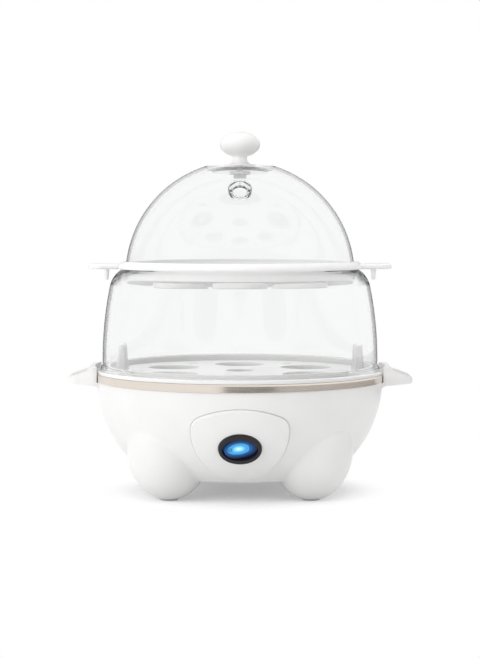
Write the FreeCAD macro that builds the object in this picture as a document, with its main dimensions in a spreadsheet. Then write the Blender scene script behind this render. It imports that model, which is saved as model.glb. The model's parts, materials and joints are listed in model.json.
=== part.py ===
import FreeCAD, Part
import Sketcher
import math
import os
import re

# Two-tier egg cooker. Millimetres, +Z up, origin on the floor below the axis, front towards -Y.

Vector = FreeCAD.Vector
X_AXIS = Vector(1, 0, 0)
Y_AXIS = Vector(0, 1, 0)
Z_AXIS = Vector(0, 0, 1)

SIZES = {
    # How far a cutting shape runs past what it cuts
    "overrun": "6",
    # Base housing: a bowl on four legs
    "base_height": "73",
    "floor_gap": "12.5",
    "neck_height": "2.5",
    "bowl_arc": "73.3",
    "bowl_edge": "4",
    "housing_wall": "2.5",
    "shelf_width": "6",
    "shelf_sheet": "2.5",
    "leg_inset": "28.3",
    "leg_radius": "25.3",
    "leg_half_height": "30",
    "leg_taper": "3.3",
    "leg_crown": "19",
    "leg_blend": "3",
    # Foot pads
    "pad_radius": "5.4",
    "pad_proud": "0.8",
    "pad_seat": "1.4",
    "pad_edge": "0.5",
    "pad_gap": "0.1",
    # Side handles
    "handle_reach": "17",
    "handle_half_width": "20",
    "handle_tip_half_width": "15",
    "handle_corner": "8",
    "handle_tip": "4.6",
    "handle_root": "8.6",
    "handle_drop": "1.6",
    "handle_slope": "3.2",
    "handle_fillet": "4",
    "handle_sink": "3",
    "collar_sheet": "3.4",
    "collar_rise": "4.6",
    "collar_gap": "0.4",
    # Steel rim band
    "rim_radius": "90",
    "rim_sheet": "0.9",
    "rim_band": "4.8",
    "rim_flange": "6",
    "rim_edge": "1.2",
    "rim_gap": "0.3",
    # Bottom cover and its screws
    "cover_inset": "23.5",
    "cover_sheet": "2.2",
    "cover_gap": "0.3",
    "cover_ledge": "7.5",
    "cover_slot_start": "11",
    "cover_slot_inset": "8.5",
    "cover_slot_half_width": "1.5",
    "screw_inset": "3.5",
    "screw_head": "2.9",
    "screw_shank": "1.4",
    "screw_length": "8",
    "screw_sink": "1.5",
    "screw_gap": "0.05",
    "boss_wall": "2.2",
    "boss_height": "7",
    # Control panel
    "panel_drop": "13.8",
    "panel_arch": "7.2",
    "panel_rise": "1.5",
    "panel_half_width": "29",
    "panel_cheek": "5.7",
    "panel_taper": "4",
    "panel_corner": "8.5",
    "panel_proud": "1.5",
    "panel_depth": "1.1",
    "panel_edge": "1.5",
    "panel_gap": "0.2",
    "panel_seat_gap": "0.1",
    # Lit rocker switch in the panel
    "switch_drop": "37.1",
    "bezel_half_width": "12.7",
    "bezel_half_height": "10.3",
    "bezel_lip": "2.4",
    "bezel_seat": "0.3",
    "bezel_edge": "0.8",
    "bezel_wall": "1.6",
    "bezel_depth": "7",
    "bezel_gap": "0.2",
    "rocker_half_length": "10.2",
    "rocker_half_width": "7.2",
    "rocker_gap": "0.3",
    "rocker_sink": "1.6",
    "rocker_keel": "4.5",
    "rocker_end": "3.4",
    "rocker_dish": "45",
    "rocker_tilt": "9",
    "rocker_pin": "1.5",
    "rocker_pin_reach": "1.4",
    "pin_gap": "0.05",
    "switch_half_width": "12.4",
    "switch_half_height": "9.5",
    "switch_depth": "12",
    "switch_well": "3.2",
    "lamp_radius": "2.2",
    "lamp_height": "2.4",
    "blade_pitch": "6",
    "blade_width": "6.3",
    "blade_sheet": "0.8",
    "blade_length": "7",
    # Heating dish, seal and element
    "seal_sheet": "1.8",
    "plate_sheet": "1.5",
    "plate_gap": "0.3",
    "dish_gap": "1.3",
    "dish_slope": "8",
    "dish_depth": "15.5",
    "dish_fillet": "4",
    "element_inset": "23",
    "element_tube": "4",
    "element_flat": "0.4",
    "element_gap_angle": "50",
    "element_pin": "2",
    "element_pin_angle": "4",
    "element_pin_length": "13",
    # Thermostat, strap, studs, fuse
    "thermostat_radius": "8.2",
    "thermostat_flange": "9.6",
    "thermostat_flange_sheet": "1.2",
    "thermostat_height": "9",
    "thermostat_blade": "6",
    "thermostat_blade_rise": "3",
    "strap_width": "14",
    "strap_sheet": "1.5",
    "strap_hook": "4",
    "strap_rise": "10.5",
    "stud_room": "4.5",
    "stud_radius": "2",
    "stud_gap": "0.2",
    "stud_tail": "2",
    "nut_across": "7",
    "nut_height": "3.2",
    "fuse_radius": "2.5",
    "fuse_length": "24",
    "fuse_lead": "0.6",
    "fuse_lead_length": "6",
    "fuse_gap": "8.5",
    # Buzzer, terminal block and cord gland
    "buzzer_radius": "10",
    "buzzer_height": "8",
    "buzzer_hole": "1.6",
    "buzzer_gap": "1.3",
    "block_length": "26",
    "block_width": "12",
    "block_height": "10",
    "block_gap": "0.8",
    "block_bore": "2",
    "block_pitch": "8.5",
    "gland_height": "30",
    "gland_bore": "3.2",
    "gland_wall": "2",
    "gland_flange": "7.4",
    "gland_flange_sheet": "1.8",
    "gland_gap": "0.1",
    "gland_stand": "0.5",
    "gland_tube_radius": "8.6",
    # Lower egg tray
    "tray_floor": "1.8",
    "tray_rim_wall": "1.8",
    "tray_rim_height": "4",
    "tray_gap": "0.7",
    "lower_inset": "33.8",
    "lower_hole": "16.5",
    "lower_collar": "5",
    "collar_wall": "1.6",
    "centre_hole": "9",
    "slot_length": "9",
    "slot_inset": "4",
    "slot_half_width": "2",
    "lug_inset": "9.1",
    "lug_half_width": "3.7",
    "lug_top_half_width": "2.4",
    "lug_length": "14",
    "lug_height": "19",
    "lug_edge": "1.8",
    # Lower dome
    "dome_wall": "2.2",
    "dome_height": "64.6",
    "dome_wall_arc": "230",
    "dome_lean": "4.5",
    "dome_shoulder_drop": "11.5",
    "dome_shoulder_arc": "17.5",
    "dome_shoulder_run": "7.8",
    "dome_lip": "2",
    "foot_inset": "0.6",
    "foot_flare": "3.7",
    "foot_height": "5",
    "foot_edge": "2.4",
    "foot_bead": "1.2",
    # Upper egg tray
    "flange_lap": "2.6",
    "tray_flange_sheet": "2.8",
    "tray_bead": "1.8",
    "tray_bead_width": "1.6",
    "tray_bead_arc": "4",
    "tray_drop": "6",
    "tray_skirt_gap": "0.6",
    "upper_inset": "28.4",
    "upper_hole": "15",
    "upper_collar": "3.5",
    "ear_tail": "10.6",
    "ear_half_width": "15",
    "ear_corner": "7",
    "ear_sheet": "3.1",
    "ear_edge": "1",
    "peg_out": "2",
    "peg_radius": "1.8",
    "peg_length": "6.8",
    "peg_tip": "1.2",
    # Dome lid with its vent
    "lid_inset": "2",
    "lid_drop": "7.3",
    "lid_flat": "21.5",
    "lid_wall": "2.2",
    "lid_gap": "0.4",
    "lid_boss": "17.4",
    "lid_boss_depth": "4",
    "vent_place": "46.5",
    "vent_tilt": "25",
    "vent_radius": "7",
    "vent_bore": "4.6",
    "vent_reach": "3.8",
    "vent_edge": "0.8",
    # Knob, screw and washer
    "knob_height": "21.1",
    "knob_head": "12.4",
    "knob_head_half_height": "7.8",
    "knob_neck": "4.4",
    "knob_foot": "10",
    "knob_foot_sheet": "1",
    "knob_blend": "3.6",
    "knob_screw_shank": "1.9",
    "knob_screw_head": "4",
    "knob_screw_head_height": "2.5",
    "knob_screw_bite": "10",
    "knob_screw_gap": "0.3",
    "thread_gap": "0.05",
    "washer_radius": "6.5",
    "washer_sheet": "1",
}

doc = FreeCAD.newDocument("egg_cooker")
sheet = doc.addObject("Spreadsheet::Sheet", "Sizes")
for row, (alias, number) in enumerate(SIZES.items(), start=1):
    sheet.set(f"A{row}", alias)
    sheet.set(f"B{row}", number)
    sheet.setAlias(f"B{row}", alias)
doc.recompute()

SIZE_NAME = re.compile(r"[a-z][a-z_]+")
NEAR = 0.01
nodes = []


def bound(formula):
    """Turn a formula of size names into one that reads the sheet's cells."""
    return SIZE_NAME.sub(lambda word: "Sizes." + word[0] if word[0] in SIZES else word[0], formula)


def worth(formula):
    """The number that a formula of size names comes to."""
    result = sheet.evalExpression(bound(formula))
    return float(getattr(result, "Value", result))


def bind(feature, **formulas):
    """Bind a feature's sizes to formulas of size names."""
    for name, formula in formulas.items():
        feature.setExpression(name, bound(formula))
    return feature


def place(piece, x="0", y="0", z="0", axis=None, angle="0"):
    """Bind where a piece stands and how far it is turned about one axis."""
    turn = FreeCAD.Rotation(axis, worth(angle)) if axis else FreeCAD.Rotation()
    piece.Placement = FreeCAD.Placement(Vector(worth(x), worth(y), worth(z)), turn)
    for letter, formula in (("x", x), ("y", y), ("z", z)):
        piece.setExpression(f"Placement.Base.{letter}", bound(formula))
    if axis:
        piece.setExpression("Placement.Rotation.Angle", bound(angle))
    return piece


def node(piece, label):
    """Name a finished sub-part and list it for export."""
    piece.Label = label
    nodes.append(piece)
    return piece


def dimension(sketch, kind, where, formula):
    """Add one driving dimension to a sketch and bind it to the sheet."""
    index = sketch.addConstraint(Sketcher.Constraint(kind, *where, worth(formula)))
    sketch.setExpression(f"Constraints[{index}]", bound(formula))


def fix_point(sketch, edge, end, x, y):
    """Tie one end of a sketch edge to its place from the origin."""
    for kind, axis, formula in (("DistanceX", -2, x), ("DistanceY", -1, y)):
        if formula == "0":
            sketch.addConstraint(Sketcher.Constraint("PointOnObject", edge, end, axis))
        else:
            dimension(sketch, kind, (-1, 1, edge, end), formula)


def arc_between(start, end, radius, turn):
    """The shorter arc from start to end, turning "ccw" or "cw" on the way."""
    first, last = (start, end) if turn == "ccw" else (end, start)
    chord = last - first
    rise = math.sqrt(radius ** 2 - (chord.Length / 2) ** 2)
    centre = (first + last) / 2 + Vector(-chord.y, chord.x, 0).normalize() * rise
    from_angle = math.atan2(first.y - centre.y, first.x - centre.x)
    to_angle = math.atan2(last.y - centre.y, last.x - centre.x)
    if to_angle < from_angle:
        to_angle += 2 * math.pi
    return Part.ArcOfCircle(Part.Circle(centre, Z_AXIS, radius), from_angle, to_angle)


def draw(sketch, outline):
    """Draw a closed outline of corners (x, y), or (x, y, radius, turn) where an arc leaves the corner."""
    points = [Vector(worth(corner[0]), worth(corner[1]), 0) for corner in outline]
    edges = []
    for corner, start, end in zip(outline, points, points[1:] + points[:1]):
        if len(corner) == 2:
            edges.append((sketch.addGeometry(Part.LineSegment(start, end)), 1, 2))
            continue
        edge = sketch.addGeometry(arc_between(start, end, worth(corner[2]), corner[3]))
        edges.append((edge, 1, 2) if corner[3] == "ccw" else (edge, 2, 1))
    for corner, edge, before in zip(outline, edges, edges[-1:] + edges[:-1]):
        sketch.addConstraint(Sketcher.Constraint("Coincident", before[0], before[2], edge[0], edge[1]))
        fix_point(sketch, edge[0], edge[1], corner[0], corner[1])
        if len(corner) == 4:
            dimension(sketch, "Radius", (edge[0],), corner[2])


def draw_circle(sketch, x, y, radius):
    """Draw one circle."""
    circle = Part.Circle(Vector(worth(x), worth(y), 0), Z_AXIS, worth(radius))
    edge = sketch.addGeometry(circle)
    fix_point(sketch, edge, 3, x, y)
    dimension(sketch, "Radius", (edge,), radius)


def new_body(name):
    """Start a body."""
    return doc.addObject("PartDesign::Body", name)


def new_sketch(body, role, lift="0"):
    """Put an empty sketch on one of a body's own origin planes, or a distance off it."""
    plane = next(item for item in body.Origin.OriginFeatures if item.Role == role)
    sketch = body.newObject("Sketcher::SketchObject", f"{body.Name}_sketch")
    sketch.AttachmentSupport = [(plane, "")]
    sketch.MapMode = "FlatFace"
    if lift != "0":
        sketch.setExpression("AttachmentOffset.Base.z", bound(lift))
    return sketch


def revolve(body, outline, kind="Revolution"):
    """Turn an outline of (radius, height) corners about the body's Z axis."""
    sketch = new_sketch(body, "XZ_Plane")
    draw(sketch, outline)
    turned = body.newObject(f"PartDesign::{kind}", f"{body.Name}_turned")
    turned.Profile = sketch
    turned.ReferenceAxis = (sketch, ["V_Axis"])
    turned.Angle = 360
    return turned


def turned_body(name, outline):
    """A body of revolution from one outline."""
    body = new_body(name)
    revolve(body, outline)
    return body


def pad(body, sketch, length, side="One side", back=False):
    """Raise a sketch into a solid."""
    raised = body.newObject("PartDesign::Pad", f"{body.Name}_pad")
    raised.Profile = sketch
    raised.SideType = side
    raised.Reversed = back
    return bind(raised, Length=length)


def pocket(body, sketch, length, back=False):
    """Cut a sketch into a solid."""
    sunk = body.newObject("PartDesign::Pocket", f"{body.Name}_pocket")
    sunk.Profile = sketch
    sunk.Reversed = back
    return bind(sunk, Length=length)


def ring_of(body, feature, count):
    """Repeat a feature round the body's Z axis."""
    pattern = body.newObject("PartDesign::PolarPattern", f"{body.Name}_ring")
    pattern.Originals = [feature]
    pattern.Axis = (feature.Profile[0], ["N_Axis"])
    pattern.Angle = 360
    pattern.Occurrences = count
    body.Tip = pattern
    return pattern


def solid(kind, name, **formulas):
    """A primitive solid with its sizes bound."""
    return bind(doc.addObject(f"Part::{kind}", name), **formulas)


def oval(name, half_width, half_height, low, high):
    """An upright oval prism between two levels."""
    ellipse = solid("Ellipse", f"{name}_outline", MajorRadius=half_width, MinorRadius=half_height)
    place(ellipse, z=low)
    prism = doc.addObject("Part::Extrusion", name)
    prism.Base = ellipse
    prism.DirMode = "Custom"
    prism.Dir = Z_AXIS
    prism.Solid = True
    return bind(prism, LengthFwd=f"{high} - ({low})")


def fuse(name, first, *others):
    """Join pieces, one after another, into one solid."""
    joined = first
    for other in others:
        step = doc.addObject("Part::Fuse", name if other is others[-1] else f"{name}_step")
        step.Base = joined
        step.Tool = other
        step.Refine = False
        joined = step
    return joined


def common(name, *pieces):
    """What all the pieces share."""
    shared = doc.addObject("Part::MultiCommon", name)
    shared.Shapes = list(pieces)
    return shared


def cut(name, base, *tools):
    """Take the tools out of a base."""
    together = tools[0]
    if len(tools) > 1:
        together = doc.addObject("Part::Compound", f"{name}_tools")
        together.Links = list(tools)
    left = doc.addObject("Part::Cut", name)
    left.Base = base
    left.Tool = together
    left.Refine = False
    return left


def round_edges(name, base, radius, chosen):
    """Round the edges of a base for which chosen(edge) is true."""
    doc.recompute()
    size = worth(radius)
    rounded = doc.addObject("Part::Fillet", name)
    rounded.Base = base
    rounded.Edges = [
        (number, size, size)
        for number, edge in enumerate(base.Shape.Edges, start=1)
        if chosen(edge)
    ]
    return rounded


def round_body_edges(body, feature, radius, chosen):
    """Round the edges of a body's feature for which chosen(edge) is true."""
    doc.recompute()
    rounded = body.newObject("PartDesign::Fillet", f"{body.Name}_fillet")
    names = [f"Edge{n}" for n, edge in enumerate(feature.Shape.Edges, start=1) if chosen(edge)]
    rounded.Base = (feature, names)
    return bind(rounded, Radius=radius)


def middle(edge):
    """The point half way along an edge."""
    return edge.valueAt((edge.FirstParameter + edge.LastParameter) / 2)


def runs_along(edge, axis):
    """Whether an edge is a straight one along an axis."""
    return abs(edge.tangentAt(edge.FirstParameter).dot(axis)) > 1 - NEAR


def at_ring(edge, level, radius):
    """Whether an edge is the level circle of a radius about the axis."""
    if edge.Degenerated or "Circle" not in edge.Curve.TypeId:
        return False
    level_off = abs(middle(edge).z - worth(level)) + edge.BoundBox.ZLength
    return level_off < NEAR and abs(edge.Curve.Radius - worth(radius)) < NEAR


# Shared levels and radii
HOUSING_RADIUS = "(rim_radius - rim_sheet - rim_gap)"
NECK_RADIUS = f"({HOUSING_RADIUS} - housing_wall)"
SHELF_RADIUS = f"({NECK_RADIUS} - shelf_width)"
SHELF_TOP = "(base_height - plate_sheet - seal_sheet)"
SHELF_UNDER = f"({SHELF_TOP} - shelf_sheet)"
BOWL_LEVEL = "(base_height - neck_height)"
BOWL_CENTRE = f"({HOUSING_RADIUS} - bowl_arc)"
RIM_TOP = "(base_height + rim_sheet)"
RIM_LOW = f"({RIM_TOP} - rim_band)"
DISH_UNDER = "(base_height - dish_depth - plate_sheet)"
STRAP_TOP = f"({DISH_UNDER} - thermostat_height)"
LEG_PITCH = f"({HOUSING_RADIUS} - leg_inset)"
LEG_TOE = "(leg_radius - leg_taper)"
COVER_RADIUS = f"({LEG_PITCH} - cover_inset)"
COVER_OPENING = f"({COVER_RADIUS} + cover_gap)"
LEDGE_RADIUS = f"({COVER_OPENING} - cover_ledge)"
LEDGE_UNDER = "(floor_gap + cover_sheet)"
LEDGE_TOP = f"({LEDGE_UNDER} + housing_wall)"
SCREW_PITCH = f"({COVER_RADIUS} - screw_inset)"
PANEL_TOP = "(base_height - panel_drop)"
PANEL_SHOULDER = f"({PANEL_TOP} - panel_arch)"
PANEL_CHEEK = f"({PANEL_SHOULDER} - panel_cheek)"
PANEL_BOTTOM = "(floor_gap + panel_rise)"
PANEL_TIP = "(panel_half_width - panel_taper)"
SWITCH_HEIGHT = "(base_height - switch_drop)"
DISH_MOUTH = f"({SHELF_RADIUS} - dish_gap)"
DISH_FLOOR = f"({DISH_MOUTH} - dish_slope)"
ELEMENT_RING = f"({DISH_FLOOR} - element_inset)"
FUSE_PLACE = f"({ELEMENT_RING} - element_tube - fuse_radius - fuse_gap)"
STUD_PITCH = f"({FUSE_PLACE} - fuse_radius - stud_radius - stud_room)"
FOOT_RADIUS = "(rim_radius - foot_inset)"
DOME_RADIUS = f"({FOOT_RADIUS} - foot_flare)"
DOME_SHOULDER = f"({DOME_RADIUS} - dome_lean)"
DOME_MOUTH = f"({DOME_SHOULDER} - dome_shoulder_run)"
TRAY_RADIUS = f"({DOME_RADIUS} - dome_wall - tray_gap)"
LUG_PLACE = f"({TRAY_RADIUS} - lug_inset)"
SKIRT_RADIUS = f"({DOME_MOUTH} - dome_lip - tray_skirt_gap)"
PEG_PLACE = f"({DOME_SHOULDER} + peg_out)"
EAR_REACH = f"({PEG_PLACE} + ear_tail)"
LID_ARC = f"({DOME_MOUTH} - lid_inset)"
TRAY_SEAT = f"({RIM_TOP} + dome_height)"
LID_SEAT = f"({TRAY_SEAT} + tray_flange_sheet)"
LID_CENTRE = f"({LID_SEAT} - lid_drop)"
LID_TOP = f"({LID_CENTRE} + sqrt({LID_ARC}^2 - lid_flat^2))"
CORNERS = {"back_right": 45, "back_left": 135, "front_left": 225, "front_right": 315}
EGG_HOLES = 6
COVER_SLOTS = 10


def bowl_radius(level, grow="0"):
    """Radius of the bowl's curve, offset outwards by grow, at a level."""
    return f"({BOWL_CENTRE} + sqrt((bowl_arc + {grow})^2 - ({BOWL_LEVEL} - ({level}))^2))"


# The gland's boss runs square through the wall, proud of it on both sides
GLAND_FACE = f"({bowl_radius('gland_height + gland_tube_radius')} + gland_stand)"
GLAND_INSIDE = f"({bowl_radius('gland_height - gland_tube_radius', '(-housing_wall)')} - gland_stand)"
GLAND_TUBE = f"({GLAND_FACE} - {GLAND_INSIDE})"

# The switch stands square to the bowl, in a frame whose +Z points out of it
SWITCH_TILT = f"asin(({BOWL_LEVEL} - {SWITCH_HEIGHT}) / bowl_arc)"


def place_on_panel(piece, out="0"):
    """Set a piece, drawn upright, square to the bowl at the switch's height."""
    y = f"-({bowl_radius(SWITCH_HEIGHT)} + ({out}) * cos({SWITCH_TILT}))"
    z = f"{SWITCH_HEIGHT} - ({out}) * sin({SWITCH_TILT})"
    return place(piece, "0", y, z, X_AXIS, f"90 deg + {SWITCH_TILT}")


def ring_place(radius, angle):
    """Formulas for the point at an angle on a circle about the axis."""
    return f"{radius} * cos({angle})", f"{radius} * sin({angle})"


def panel_prism(name, grow):
    """The panel's shield outline, grown by a gap, run forward from the axis."""
    prism = new_body(name)
    sketch = new_sketch(prism, "XZ_Plane")
    right = f"(panel_half_width + {grow})"
    tip = f"({PANEL_TIP} + {grow})"
    rise = f"({PANEL_CHEEK} - {PANEL_BOTTOM} - {PANEL_TIP})"
    side = f"((panel_half_width^2 + {rise}^2 - {PANEL_TIP}^2) / (2 * panel_taper))"
    turn_x = f"({tip} * ({side} - panel_half_width) / ({side} - {PANEL_TIP}))"
    turn_z = f"({PANEL_BOTTOM} + {PANEL_TIP} - {tip} * {rise} / ({side} - {PANEL_TIP}))"
    draw(sketch, [
        (f"-{turn_x}", turn_z, tip, "ccw"),
        (turn_x, turn_z, f"{side} + {grow}", "ccw"),
        (right, PANEL_CHEEK),
        (right, f"{PANEL_SHOULDER} + {grow}", f"({right}^2 + panel_arch^2) / (2 * panel_arch)", "ccw"),
        (f"-{right}", f"{PANEL_SHOULDER} + {grow}"),
        (f"-{right}", PANEL_CHEEK, f"{side} + {grow}", "ccw"),
    ])
    raised = pad(prism, sketch, "rim_radius")

    def at_corner(edge):
        beside = abs(abs(middle(edge).x) - worth(right)) < NEAR
        return runs_along(edge, Y_AXIS) and beside and middle(edge).z > worth(PANEL_CHEEK) + NEAR

    round_body_edges(prism, raised, f"panel_corner + {grow}", at_corner)
    return prism


def bowl_band(name, inner, outer):
    """A ring that follows the bowl's curve between two offsets, as tall as the panel and more."""
    low = f"({PANEL_BOTTOM} - panel_proud)"
    high = f"({PANEL_TOP} + panel_edge + panel_proud)"
    return turned_body(name, [
        (bowl_radius(low, outer), low, f"bowl_arc + {outer}", "ccw"),
        (bowl_radius(high, outer), high),
        (bowl_radius(high, inner), high, f"bowl_arc + {inner}", "cw"),
        (bowl_radius(low, inner), low),
    ])


def leg_body(name, angle, shrink, sole):
    """An egg-shaped leg, standing at an angle round the axis, its skin drawn in by shrink."""
    side = f"((leg_radius^2 + (leg_half_height - {LEG_TOE})^2 - {LEG_TOE}^2) / (2 * leg_taper))"
    toe = f"({LEG_TOE} - {shrink})"
    crown = "(leg_half_height + leg_crown)"
    leg = turned_body(name, [
        ("0", sole),
        (f"sqrt({toe}^2 - ({LEG_TOE} - {sole})^2)", sole, toe, "ccw"),
        (
            f"{toe} * ({side} - leg_radius) / ({side} - {LEG_TOE})",
            f"{LEG_TOE} - {toe} * (leg_half_height - {LEG_TOE}) / ({side} - {LEG_TOE})",
            f"{side} - {shrink}", "ccw",
        ),
        (f"leg_radius - {side} + sqrt(({side} - {shrink})^2 - leg_crown^2)", crown),
        ("0", crown),
    ])
    x, y = ring_place(LEG_PITCH, angle)
    return place(leg, x, y, "0", Z_AXIS, f"{angle} + 180")


def make_handle():
    """One side handle at +X: an upright collar round the rim and a wing that thins to its tip."""
    profile = new_body("handle_profile")
    sketch = new_sketch(profile, "XZ_Plane")
    collar = "(rim_radius + collar_gap + collar_sheet)"
    tip = "(rim_radius + handle_reach - handle_tip / 2)"
    wing_top = f"({RIM_TOP} + handle_drop)"
    tip_top = f"({wing_top} - handle_slope)"
    collar_top = f"({RIM_TOP} + collar_rise)"
    wing_low = f"({wing_top} - handle_root)"
    fillet_low = f"({wing_low} - handle_fillet)"
    root = f"({SHELF_RADIUS} - handle_sink)"
    draw(sketch, [
        (root, fillet_low),
        (f"{bowl_radius(fillet_low)} - handle_sink", fillet_low, "handle_fillet + handle_sink", "cw"),
        (f"{HOUSING_RADIUS} + handle_fillet", wing_low),
        (tip, f"{tip_top} - handle_tip", "handle_tip / 2", "ccw"),
        (f"{tip} + handle_tip / 2", f"{tip_top} - handle_tip / 2", "handle_tip / 2", "ccw"),
        (tip, tip_top),
        (f"{collar} + collar_sheet / 2", wing_top, "collar_sheet / 2", "cw"),
        (collar, f"{wing_top} + collar_sheet / 2"),
        (collar, f"{collar_top} - collar_sheet / 2", "collar_sheet / 2", "ccw"),
        (f"{collar} - collar_sheet / 2", collar_top),
        (root, collar_top),
    ])
    pad(profile, sketch, "2 * handle_half_width", "Symmetric")
    plan = new_body("handle_plan")
    sketch = new_sketch(plan, "XY_Plane")
    edge = "(rim_radius + handle_reach)"
    draw(sketch, [
        ("rim_radius / 2", "-handle_half_width"),
        ("rim_radius", "-handle_half_width"),
        (edge, "-handle_tip_half_width"),
        (edge, "handle_tip_half_width"),
        ("rim_radius", "handle_half_width"),
        ("rim_radius / 2", "handle_half_width"),
    ])
    raised = pad(plan, sketch, "2 * base_height")

    def at_tip_corner(corner):
        return runs_along(corner, Z_AXIS) and abs(middle(corner).x - worth(edge)) < NEAR

    round_body_edges(plan, raised, "handle_corner", at_tip_corner)
    blank = common("handle_blank", profile, plan)
    clear = solid("Cylinder", "handle_clear", Radius="rim_radius + collar_gap", Height="base_height")
    place(clear, z=f"{RIM_LOW} - collar_gap")
    return cut("handle", blank, clear)


def make_housing():
    """The moulded bowl with its legs, handles, shelf, cover ledge and cut-outs."""
    edge_drop = f"({BOWL_LEVEL} - floor_gap - bowl_edge)"
    edge_run = f"sqrt((bowl_arc - bowl_edge)^2 - {edge_drop}^2)"
    stretch = "bowl_arc / (bowl_arc - bowl_edge)"
    turn_radius = f"{BOWL_CENTRE} + {edge_run} * {stretch}"
    turn_level = f"{BOWL_LEVEL} - {edge_drop} * {stretch}"
    bowl = turned_body("bowl", [
        ("0", "floor_gap"),
        (f"{BOWL_CENTRE} + {edge_run}", "floor_gap", "bowl_edge", "ccw"),
        (turn_radius, turn_level, "bowl_arc", "ccw"),
        (HOUSING_RADIUS, BOWL_LEVEL),
        (HOUSING_RADIUS, "base_height"),
        ("0", "base_height"),
    ])
    legs = []
    hollows = []
    pad_holes = []
    for angle in CORNERS.values():
        legs.append(leg_body("leg", angle, "0", "pad_proud"))
        hollows.append(leg_body("leg_hollow", angle, "housing_wall", "(pad_proud + pad_seat + housing_wall)"))
        x, y = ring_place(LEG_PITCH, angle)
        seat = solid("Cylinder", "pad_hole", Radius="pad_radius + pad_gap", Height="pad_seat + pad_proud")
        pad_holes.append(place(seat, x, y))
    shell = fuse("bowl_and_legs", bowl, *legs)
    inner_low = "(floor_gap + housing_wall)"
    inner = "(-housing_wall)"
    cavity = turned_body("cavity", [
        ("0", "-floor_gap"),
        (COVER_OPENING, "-floor_gap"),
        (COVER_OPENING, LEDGE_UNDER),
        (LEDGE_RADIUS, LEDGE_UNDER),
        (LEDGE_RADIUS, LEDGE_TOP),
        (f"{COVER_OPENING} + housing_wall", LEDGE_TOP),
        (f"{COVER_OPENING} + housing_wall", inner_low),
        (bowl_radius(inner_low, inner), inner_low, "bowl_arc - housing_wall", "ccw"),
        (bowl_radius(SHELF_UNDER, inner), SHELF_UNDER),
        (SHELF_RADIUS, SHELF_UNDER),
        (SHELF_RADIUS, SHELF_TOP),
        (NECK_RADIUS, SHELF_TOP),
        (NECK_RADIUS, "base_height + neck_height"),
        ("0", "base_height + neck_height"),
    ])

    def at_leg_crease(edge):
        return not edge.Degenerated and "BSpline" in edge.Curve.TypeId

    blended = round_edges("bowl_blended", shell, "leg_blend", at_leg_crease)
    handle = make_handle()
    other = doc.addObject("Part::Mirroring", "handle_other")
    other.Source = handle
    other.Normal = X_AXIS
    other.Base = Vector(0, 0, 0)
    handled = fuse("bowl_handled", blended, handle, other)
    hollowed = cut("bowl_shell", handled, cavity, *hollows)

    bosses = []
    pilots = []
    for angle in CORNERS.values():
        x, y = ring_place(SCREW_PITCH, angle)
        boss = solid("Cylinder", "boss", Radius="screw_shank + boss_wall", Height="boss_height")
        bosses.append(place(boss, x, y, LEDGE_TOP))
        pilot = solid("Cylinder", "pilot", Radius="screw_shank + screw_gap",
                      Height="screw_length + boss_height")
        pilots.append(place(pilot, x, y, "floor_gap"))
    tube = solid("Cylinder", "gland_boss", Radius="gland_tube_radius", Height=GLAND_TUBE)
    place(tube, "0", GLAND_FACE, "gland_height", X_AXIS, "90")
    tube_bore = solid("Cylinder", "gland_hole", Radius="gland_bore + gland_wall + gland_gap",
                      Height=f"{GLAND_TUBE} + 2 * overrun")
    place(tube_bore, "0", f"{GLAND_FACE} + overrun", "gland_height", X_AXIS, "90")
    recess = common("panel_recess", panel_prism("recess_prism", "panel_gap"),
                    bowl_band("recess_band", "(-panel_depth - panel_seat_gap)", "(panel_proud + overrun)"))
    recessed = cut("bowl_recessed", hollowed, recess)
    window = oval(
        "switch_window", "rocker_half_length + rocker_gap + bezel_wall + bezel_gap",
        "rocker_half_width + rocker_gap + bezel_wall + bezel_gap", "-bezel_depth - overrun", "overrun",
    )
    place_on_panel(window)
    windowed = cut("bowl_windowed", recessed, window, *pad_holes)
    fitted = fuse("bowl_fitted", windowed, tube, *bosses)
    node(cut("base_housing", fitted, tube_bore, *pilots), "base_housing")


def make_bottom_cover():
    """The round cover under the base, with vent slots and sunk screw holes."""
    cover = turned_body("cover_disc", [
        ("0", "floor_gap"),
        (COVER_RADIUS, "floor_gap"),
        (COVER_RADIUS, LEDGE_UNDER),
        ("0", LEDGE_UNDER),
    ])
    sketch = new_sketch(cover, "XY_Plane", "floor_gap")
    slot_end = f"{SCREW_PITCH} - cover_slot_inset"
    draw(sketch, [
        ("cover_slot_start", "-cover_slot_half_width"),
        (slot_end, "-cover_slot_half_width"),
        (slot_end, "cover_slot_half_width"),
        ("cover_slot_start", "cover_slot_half_width"),
    ])
    ring_of(cover, pocket(cover, sketch, "cover_sheet", back=True), COVER_SLOTS)
    holes = []
    for corner, angle in CORNERS.items():
        x, y = ring_place(SCREW_PITCH, angle)
        sink = solid("Cone", "screw_sink_cut", Radius1="screw_head + screw_gap",
                     Radius2="screw_shank + screw_gap", Height="screw_sink")
        through = solid("Cylinder", "screw_way", Radius="screw_shank + screw_gap", Height="cover_sheet")
        holes.append(fuse("screw_hole", place(sink, x, y, "floor_gap"), place(through, x, y, "floor_gap")))
        screw = turned_body("screw", [
            ("0", "0"),
            ("screw_head", "0"),
            ("screw_shank", "screw_sink"),
            ("screw_shank", "screw_length"),
            ("0", "screw_length"),
        ])
        node(place(screw, x, y, "floor_gap"), f"cover_screw_{corner}")
    node(cut("bottom_cover", cover, *holes), "bottom_cover")


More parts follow.
